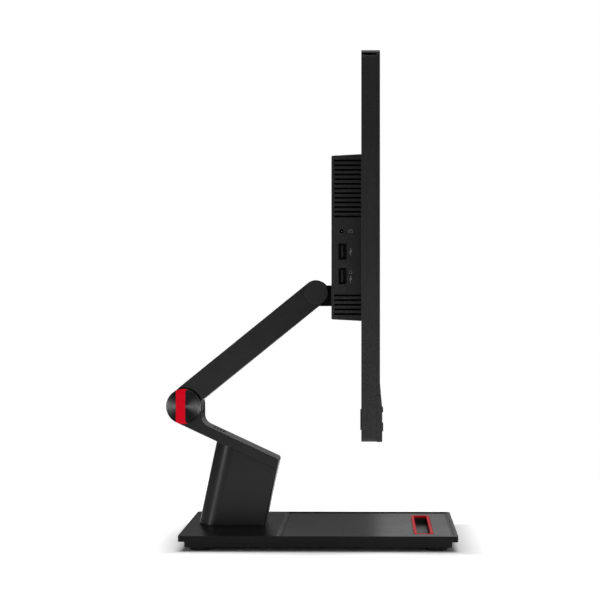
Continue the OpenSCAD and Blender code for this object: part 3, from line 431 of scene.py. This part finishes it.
extraFinishes = {
    "printGrey": skinMaterial("padPrintedGrey", (0.34, 0.34, 0.345), 0.55, 3000.0, 0.1, dust=0.0),
    # A darker copy of the stand paint: painted shade on the base plates and the tilt bracket
    "basePaint": skinMaterial("basePaintBlack", (0.003, 0.003, 0.0032), 0.30, 2600.0, 0.06,
                              smudge=0.03, dust=0.01, level=0.12),
    # A lighter, glossier copy for the tray's step: the gloss is real, the lighter colour is a painted highlight
    "stepTrim": skinMaterial("polishedStep", (0.075, 0.075, 0.077), 0.18, 2600.0, 0.02,
                             smudge=0.02, dust=0.0, rub=0.0, level=0.6),
    # A lighter copy of the housing's skin: painted light on the hump, which the display shades
    "humpSkin": skinMaterial("humpSkinBlack", (0.027, 0.027, 0.0278), 0.46, 1900.0, 0.30),
    # A lighter copy of the stand paint: painted light on the arm
    "armPaint": skinMaterial("armPaintBlack", (0.020, 0.020, 0.0206), 0.40, 2600.0, 0.22),
    # A lighter copy again: painted light on the pivot discs, where the hump and display shade them
    "discPaint": skinMaterial("discPaintBlack", (0.029, 0.029, 0.0296), 0.40, 2600.0, 0.22),
    "contactGold": metalMaterial("goldPlatedContacts", (0.30, 0.22, 0.11), 0.25),
    "socketShell": metalMaterial("darkSocketShell", (0.006, 0.006, 0.0063), 0.42,
                                 (80.0, 1800.0, 1800.0)),
    "brightTip": metalMaterial("springContactTip", (0.6, 0.6, 0.6), 0.45),
    "tongueGrey": skinMaterial("tongueGrey", (0.035, 0.035, 0.036), 0.5, 2600.0, 0.1, dust=0.0),
    # Dead black: painted shade in the deck vents, the slots' sides, the jack's bore and behind the vent slots
    "filterCloth": skinMaterial("filterCloth", (0.0035, 0.0035, 0.0035), 0.85, 2600.0, 0.5,
                                dust=0.02, rub=0.0, level=0.1),
}
slotOf = {row["node"]: row["material_slot"] for row in frame["record"]["subparts"]}
for nodeName, node in frame["nodes"].items():
    node.data.materials.clear()
    node.data.materials.append(finishes[slotOf[nodeName]])
print("materials are ready:", len(finishes) + len(extraFinishes))


# Making pieces

creaseAngle = 28.0       # degrees above which an edge is rounded
weldReach = 0.002 * mm   # vertices closer than this are one


def placePiece(name, form, finish, body, replaced=(), crease=30.0, more=()):
    # Writes the mesh, shades it and hands it to its body; more holds its further finishes
    bmesh.ops.recalc_face_normals(form, faces=form.faces)
    mesh = bpy.data.meshes.new(name)
    form.to_mesh(mesh)
    form.free()
    mesh.shade_smooth()
    mesh.set_sharp_from_angle(angle=math.radians(crease))
    for layer in (finish, *more):
        mesh.materials.append(layer)
    piece = bpy.data.objects.new(name, mesh)
    scene.collection.objects.link(piece)
    even = piece.modifiers.new("evenNormals", "WEIGHTED_NORMAL")
    even.keep_sharp = True
    even.weight = 80
    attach(piece, body)
    if replaced:
        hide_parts(*replaced)
    return piece


def bodyOf(nodeName):
    groups = frame["record"]["behaviour"]["bodies"]
    return next(body for body, members in groups.items() if nodeName in members)


def roundEdges(form, width, segments, crease=creaseAngle):
    # Bevels every edge sharper than the crease and marks the new faces for the rubbed look
    mark = form.loops.layers.float.new("edge")
    sharp = [edge for edge in form.edges
             if len(edge.link_faces) == 2 and edge.calc_face_angle(0.0) > math.radians(crease)]
    made = bmesh.ops.bevel(form, geom=sharp, offset=width, offset_type="OFFSET",
                           segments=segments, profile=0.5, affect="EDGES",
                           clamp_overlap=True, material=-1)
    for face in made["faces"]:
        if face.is_valid:
            for corner in face.loops:
                corner[mark] = 1.0


def wholeFaces(nodeName):
    # The solid from the frame, merged back into whole faces
    form = bmesh.new()
    form.from_mesh(frame["nodes"][nodeName].data)
    bmesh.ops.remove_doubles(form, verts=form.verts, dist=weldReach)
    bmesh.ops.dissolve_limit(form, angle_limit=math.radians(0.5), use_dissolve_boundaries=False,
                             verts=form.verts, edges=form.edges, delimit=set())
    return form


def finishedCopy(nodeName, width, segments, finish=None, more=()):
    form = wholeFaces(nodeName)
    roundEdges(form, width, segments)
    slot = slotOf[nodeName]
    words = nodeName.split("_")
    name = words[0] + "".join(word.capitalize() for word in words[1:])
    return placePiece(name, form, finish or finishes[slot], bodyOf(nodeName), (nodeName,),
                      more=more)


# Edge rounding of each moulded, cast or cut piece: width in millimetres and segments
edgeSettings = {
    "base_top_plate": (0.35, 2), "tray_insert": (0.2, 2), "base_weight_plate": (0.3, 2),
    "column_shell": (0.4, 2), "neck_casting": (0.45, 3),
    "deck_vents": (0.1, 1), "arm_frame": (0.2, 2), "arm_top_cover": (0.3, 2),
    "tilt_bracket": (0.6, 2), "hump_cover": (0.15, 2), "rear_cover": (0.35, 3),
    "mid_frame": (0.15, 2), "front_bezel": (0.25, 2), "top_cap": (0.3, 2), "chin_bar": (0.3, 2),
    "screen_glass": (0.15, 2), "io_panel": (0.3, 2), "network_port": (0.2, 2),
    "video_ports": (0.2, 2), "power_inlet": (0.2, 2), "corner_bumpers": (0.35, 3),
    "power_button": (0.3, 3), "menu_button_1": (0.3, 3), "menu_button_2": (0.3, 3),
    "menu_button_3": (0.3, 3), "camera_shutter": (0.15, 2), "level_link": (0.3, 2),
    "link_anchor": (0.3, 2), "level_hub": (0.3, 2),
}
# Pieces whose finish isn't the one of their slot, and the second finish of two of them
ownFinish = {"base_top_plate": "basePaint", "base_weight_plate": "basePaint",
             "deck_vents": "filterCloth", "hump_cover": "humpSkin", "arm_frame": "armPaint",
             "tilt_bracket": "basePaint"}
secondFinish = {"base_top_plate": "stepTrim", "hump_cover": "filterCloth"}
stepSettings = {"area": 0.0001, "slope": (-0.6, -0.15), "up": 0.7}
skinDepth = 0.4 * mm


def markHighlightedStep(faces, s):
    # The sloped step at the tray's rear edge gets a glossier finish whose lighter colour is a painted highlight
    for face in faces:
        sloped = s["slope"][0] < face.normal.y < s["slope"][1] and face.normal.z > s["up"]
        if face.area > s["area"] and sloped:
            face.material_index = 1


def markInside(faces, low, high, depth):
    # The slots' sides and the inside of the housing are dead black, painted shade
    for face in faces:
        if min(min(face.center - low), min(high - face.center)) > depth:
            face.material_index = 1


for nodeName, (width, segments) in edgeSettings.items():
    finish = extraFinishes[ownFinish[nodeName]] if nodeName in ownFinish else None
    more = [extraFinishes[secondFinish[nodeName]]] if nodeName in secondFinish else []
    piece = finishedCopy(nodeName, width * mm, segments, finish, more)
    if nodeName == "base_top_plate":
        markHighlightedStep(piece.data.polygons, stepSettings)
    if nodeName == "hump_cover":
        corners = [Vector(f(v.co[i] for v in piece.data.vertices) for i in range(3))
                   for f in (min, max)]
        markInside(piece.data.polygons, *corners, skinDepth)
print("finished copies:", len(edgeSettings))


# Phone slot: red rim and upper wall, dark well below

slotSettings = {"edge": 0.4 * mm, "redDepth": 2.4 * mm}


def makePhoneSlot(s):
    form = wholeFaces("phone_slot_liner")
    roundEdges(form, s["edge"], 2)
    top = max(vert.co.z for vert in form.verts)
    cut = top - s["redDepth"]
    bmesh.ops.bisect_plane(form, geom=form.verts[:] + form.edges[:] + form.faces[:],
                           dist=0.000001, plane_co=(0, 0, cut), plane_no=(0, 0, 1))
    for face in form.faces:
        face.material_index = 0 if face.calc_center_median().z > cut else 1
    placePiece("phoneSlotLiner", form, finishes["red_trim"], "stand",
               ("phone_slot_liner",), more=[finishes["black_trim"]])


makePhoneSlot(slotSettings)
print("phone slot made")


# Side sockets

# In millimetres. Each pair along the socket's depth is measured in from the mouth
usbSettings = {"wall": 0.45, "depth": 12.0, "edge": 0.12, "tongue": (1.2, 12.0),
               "tongueThick": 1.5, "tongueShift": 0.2, "tongueEnds": 1.3, "tongueEdge": 0.15,
               "contacts": 4, "contact": (1.6, 9.0), "contactHalf": 0.5, "contactUp": 0.06,
               "contactSunk": 0.02}


def addBox(form, low, high, mark=0):
    # A closed box between two corners; returns its faces
    made = bmesh.ops.create_cube(form, size=1.0)
    size = Vector(high) - Vector(low)
    middle = (Vector(high) + Vector(low)) / 2
    for vert in made["verts"]:
        vert.co = Vector(vert.co[i] * size[i] for i in range(3)) + middle
    faces = {face for vert in made["verts"] for face in vert.link_faces}
    for face in faces:
        face.material_index = mark
    return faces


def nodeBox(nodeName):
    node = frame["nodes"][nodeName]
    corners = [node.matrix_world @ Vector(corner) for corner in node.bound_box]
    return [Vector(f(corner[i] for corner in corners) for i in range(3)) for f in (min, max)]


def makeUsbPort(nodeName, pieceName, s):
    # Folded shell with rounded lips, and a tongue with its contacts
    low, high = nodeBox(nodeName)
    form = bmesh.new()
    faces = addBox(form, low, high)
    mouth = [face for face in faces if face.normal.x < -0.9]
    bmesh.ops.inset_region(form, faces=mouth, thickness=s["wall"] * mm, depth=0.0)
    pushed = bmesh.ops.extrude_face_region(form, geom=mouth)
    bmesh.ops.delete(form, geom=mouth, context="FACES_ONLY")
    moved = [item for item in pushed["geom"] if isinstance(item, bmesh.types.BMVert)]
    bmesh.ops.translate(form, vec=(s["depth"] * mm, 0, 0), verts=moved)
    roundEdges(form, s["edge"] * mm, 2, 40.0)
    near, far = (low.x + reach * mm for reach in s["tongue"])
    y0 = (low.y + high.y) / 2 - s["tongueShift"] * mm
    ends = s["tongueEnds"] * mm
    tongue = addBox(form, (near, y0, low.z + ends),
                    (far, y0 + s["tongueThick"] * mm, high.z - ends), 1)
    edges = {edge for face in tongue for edge in face.edges}
    bmesh.ops.bevel(form, geom=list(edges), offset=s["tongueEdge"] * mm, segments=1, profile=0.5,
                    affect="EDGES", material=-1)
    near, far = (low.x + reach * mm for reach in s["contact"])
    half = s["contactHalf"] * mm
    pitch = (high.z - low.z) / (s["contacts"] + 1.0)
    for index in range(s["contacts"]):
        z = low.z + pitch * (index + 1)
        addBox(form, (near, y0 - s["contactUp"] * mm, z - half),
               (far, y0 + s["contactSunk"] * mm, z + half), 2)
    placePiece(pieceName, form, extraFinishes["socketShell"], "display",
               (nodeName,), more=[extraFinishes["tongueGrey"], extraFinishes["contactGold"]])


makeUsbPort("usb_port_upper", "usbPortUpper", usbSettings)
makeUsbPort("usb_port_lower", "usbPortLower", usbSettings)

# In millimetres. The places along the axis are measured in from the face
jackSettings = {"collar": 3.6, "chamfer": 0.3, "lip": 0.35, "lipDepth": 0.5, "bore": 1.8,
                "floor": 3.9, "back": 4.2, "body": 4.0, "ring": (1.6, 2.4),
                "ringOut": 0.02, "ringIn": 0.28, "tip": 0.5, "tipFront": 2.0,
                "segments": 48, "tipSegments": 24}


def spinAboutX(form, profile, place, segments, mark=0):
    # Turns an open profile of (x, radius) about the X axis through a place
    verts = [form.verts.new((x, place.y + r, place.z)) for x, r in profile]
    edges = [form.edges.new(pair) for pair in zip(verts, verts[1:])]
    before = set(form.faces)
    bmesh.ops.spin(form, geom=verts + edges, cent=place, axis=(1, 0, 0), dvec=(0, 0, 0),
                   angle=math.tau, steps=segments, use_merge=True, use_duplicate=False)
    bmesh.ops.remove_doubles(form, verts=form.verts, dist=weldReach / 2)
    made = [face for face in form.faces if face not in before]
    for face in made:
        face.material_index = mark
    return made


def makeJack(s):
    # A grey collar with a black bore, a contact ring in it and the bright spring contact
    low, high = nodeBox("headset_jack")
    place = Vector((0, jackPlace.y, jackPlace.z))
    collar, bore, ring = s["collar"], s["bore"], s["ring"]
    form = bmesh.new()

    def turned(profile, segments, mark):
        points = [(low.x + x * mm, r * mm) for x, r in profile]
        return spinAboutX(form, points, place, segments, mark)

    addBox(form, (low.x + s["body"] * mm, low.y, low.z), high)
    shell = turned([(s["back"], 0.0), (s["back"], collar), (s["chamfer"], collar),
                    (0.0, collar - s["chamfer"]), (0.0, bore + s["lip"]), (s["lipDepth"], bore),
                    (s["floor"], bore), (s["floor"], 0.0)], s["segments"], 0)
    # The bore's faces and its contact ring take the dead-black finish, painted shade in the hole
    for face in shell:
        middle = face.calc_center_median() - place
        if math.hypot(middle.y, middle.z) < (bore + 0.01) * mm:
            face.material_index = 2
    outer, inner = bore - s["ringOut"], bore - s["ringIn"]
    turned([(ring[0], outer), (ring[0], inner), (ring[1], inner), (ring[1], outer),
            (ring[0], outer)], s["segments"], 2)
    turned([(s["floor"], 0.0), (s["floor"], s["tip"]), (s["tipFront"], s["tip"]),
            (s["tipFront"], 0.0)], s["tipSegments"], 1)
    placePiece("headsetJack", form, extraFinishes["tongueGrey"], "display",
               ("headset_jack",), more=[extraFinishes["brightTip"], extraFinishes["filterCloth"]])


makeJack(jackSettings)
print("side sockets made")


# Printed marks beside the sockets

# In millimetres. Each line runs between two (y, z) points about its sign's centre
markSettings = {
    "y": -42.7, "thick": 0.08, "line": 0.42, "lap": 0.6, "stand": 0.45,
    "headset": [((-1.4, -1.3), (-1.4, 1.2)), ((-1.4, 1.2), (1.4, 1.2)), ((1.4, 1.2), (1.4, -1.3)),
                ((-1.7, -1.3), (-0.8, -1.3)), ((0.8, -1.3), (1.7, -1.3))],
    "branch": [((0, -3.4), (0, 2.6)), ((0, -1.0), (-0.9, 0.2)), ((-0.9, 0.2), (-0.9, 1.2)),
               ((0, -2.0), (0.9, -0.8)), ((0.9, -0.8), (0.9, 0.2)), ((-0.5, 2.6), (0.5, 2.6))],
    "lowerDrop": -2.6, "ring": 1.4, "ringUp": 3.6, "ringParts": 14,
}


def drawSign(form, z, lines, s):
    # Draws a sign as thin raised bars on the left wall
    wall = nodeBox("hump_cover")[0].x
    centre = Vector((wall, s["y"] * mm, z))
    across = Vector((1, 0, 0))
    for ends in lines:
        start, end = (centre + Vector((0, y, z)) * mm for y, z in ends)
        along = (end - start).normalized()
        made = bmesh.ops.create_cube(form, size=1.0)
        turn = Matrix((across, along, across.cross(along))).transposed()
        size = Matrix.Diagonal((s["thick"] * mm, (end - start).length + s["line"] * s["lap"] * mm,
                                s["line"] * mm))
        for vert in made["verts"]:
            vert.co = turn @ (size @ vert.co) + (start + end) / 2
            vert.co.x -= s["thick"] * s["stand"] * mm


def ringLines(radius, count):
    turns = [math.tau * i / count for i in range(count + 1)]
    points = [(radius * math.cos(turn), radius * math.sin(turn)) for turn in turns]
    return list(zip(points, points[1:]))


def makeMarks(s):
    # Generic signs: a square headset outline, and a branched line by each data socket
    form = bmesh.new()
    drawSign(form, jackPlace.z, s["headset"], s)
    for nodeName, drop in (("usb_port_upper", 0.0), ("usb_port_lower", s["lowerDrop"])):
        low, high = nodeBox(nodeName)
        middle = (low.z + high.z) / 2
        drawSign(form, middle + drop * mm, s["branch"], s)
        if drop:
            drawSign(form, middle + s["ringUp"] * mm, ringLines(s["ring"], s["ringParts"]), s)
    placePiece("printedMarks", form, extraFinishes["printGrey"], "display")


makeMarks(markSettings)
print("printed marks made")


# Dark sheets behind the vent slots: painted shade where light would show through them

# In millimetres: how far behind the wall, and the margins and the heights of the slot fields
shadeSheetSettings = {"inside": 2.9, "thick": 0.5, "edge": 3.4, "front": 0.5, "aboveJack": 7.5,
                  "lowField": (4.4, 28.0), "rearMiddle": 130.0, "rearHalf": 68.0, "rearTop": 1.5}


def makeShadeSheets(s):
    low, high = nodeBox("hump_cover")
    inside, thick, edge = s["inside"] * mm, s["thick"] * mm, s["edge"] * mm
    upper = jackPlace.z + s["aboveJack"] * mm
    fields = ((upper, high.z - edge), tuple(low.z + z * mm for z in s["lowField"]))
    form = bmesh.new()
    for side in (-1, 1):
        x0, x1 = sorted((side * (high.x - inside), side * (high.x - inside - thick)))
        for z0, z1 in fields:
            addBox(form, (x0, low.y + s["front"] * mm, z0), (x1, high.y - edge, z1))
    for side in (-1, 1):
        x0, x1 = ((side * s["rearMiddle"] + reach) * mm for reach in (-s["rearHalf"], s["rearHalf"]))
        addBox(form, (x0, high.y - inside - thick, upper),
               (x1, high.y - inside, high.z - edge - s["rearTop"] * mm))
    placePiece("dustFilters", form, extraFinishes["filterCloth"], "display")


makeShadeSheets(shadeSheetSettings)
print("dust filters made")


# Lower hinge caps and their red bands

# In millimetres: (distance out from the ear, radius) of the rim and the shallow spun cone
capSettings = {
    "radius": 17.5, "segments": 128,
    "profile": [(0.0, 0.0), (0.0, 17.5), (0.45, 17.5), (0.62, 17.38), (0.74, 17.15), (0.78, 16.8),
                (0.74, 16.4), (0.60, 16.0), (0.32, 15.75), (0.30, 15.55), (0.55, 15.25),
                (0.80, 14.9), (0.80, 14.4), (0.60, 9.5), (0.42, 4.2), (0.36, 1.6), (0.35, 0.0)],
}


def makeCap(nodeName, pieceName, side, s):
    low, high = nodeBox(nodeName)
    ear = high.x if side < 0 else low.x
    form = bmesh.new()
    outline = [(ear + side * out * mm, radius * mm) for out, radius in s["profile"]]
    spinAboutX(form, outline, Vector((0, hingePlace.y, hingePlace.z)), s["segments"])
    placePiece(pieceName, form, finishes["spun_cap"], "stand", (nodeName,), 40.0)


makeCap("hinge_cap_left", "hingeCapLeft", -1, capSettings)
makeCap("hinge_cap_right", "hingeCapRight", 1, capSettings)

# In millimetres: the band's two sides, its flare at the ends and its heights over the ear
bandSettings = {"ear": 23.5, "y0": -1.6, "y1": 7.8, "flare": 2.6, "flareReach": 3.2,
                "proud": 1.15, "seat": 0.2, "endDrop": 0.45, "sideDrop": 0.12,
                "rows": 60, "columns": 10}


def bandPoint(s, r, side, turn, share):
    # One point of the band: turn runs from -1 to 1 along it and share from 0 to 1 across it
    y = s["y0"] + (s["y1"] - s["y0"]) * share
    near = max(0.0, (abs(turn) * r - (r - s["flareReach"])) / s["flareReach"])
    y -= s["flare"] * near * near * (1 - share)
    z = turn * math.sqrt(r * r - y * y)
    drop = s["endDrop"] * near ** 3 + s["sideDrop"] * abs(2 * share - 1) ** 6
    x = side * (s["ear"] + s["proud"] - drop)
    return x * mm, hingePlace.y + y * mm, hingePlace.z + z * mm


def makeBands(s, cap):
    # A strip across each cap, flared and rolled over the rim at both ends
    form = bmesh.new()
    for side in (-1, 1):
        grid = [[form.verts.new(bandPoint(s, cap["radius"], side, 2 * i / s["rows"] - 1,
                                          j / s["columns"]))
                 for j in range(s["columns"] + 1)] for i in range(s["rows"] + 1)]
        for a, b in zip(grid, grid[1:]):
            for j in range(s["columns"]):
                form.faces.new((a[j], a[j + 1], b[j + 1], b[j]))
    shell = form.faces[:]
    bmesh.ops.recalc_face_normals(form, faces=shell)
    skirt = bmesh.ops.extrude_face_region(form, geom=shell)
    for vert in skirt["geom"]:
        if isinstance(vert, bmesh.types.BMVert):
            vert.co.x = math.copysign((s["ear"] + s["seat"]) * mm, vert.co.x)
    placePiece("capBands", form, finishes["red_trim"], "stand", ("cap_bands",), 50.0)


makeBands(bandSettings, capSettings)
print("hinge caps and bands made")


# Upper hinge discs: flush covers with a soft groove round them

# In millimetres: (in from the face, in from the rim) of the disc's outline
discSettings = {"thick": 1.04, "segments": 112, "dish": 0.10,
                "outline": [(0.42, 0.0), (0.12, 0.16), (0.0, 0.55), (0.0, 1.6), (0.10, 2.2)]}


def makeDiscs(s):
    low, high = nodeBox("arm_pivot_discs")
    outer = high.x / mm
    r = (high.z - low.z) / 2 / mm
    profile = [(outer - s["thick"], 0.0), (outer - s["thick"], r)]
    profile += [(outer - x, r - inward) for x, inward in s["outline"]]
    profile.append((outer - s["dish"], 0.0))
    form = bmesh.new()
    for side in (-1, 1):
        spinAboutX(form, [(side * x * mm, radius * mm) for x, radius in profile],
                   Vector((0, tiltPlace.y, tiltPlace.z)), s["segments"])
    placePiece("armPivotDiscs", form, extraFinishes["discPaint"], "arm",
               ("arm_pivot_discs",))


makeDiscs(discSettings)
print("pivot discs made")
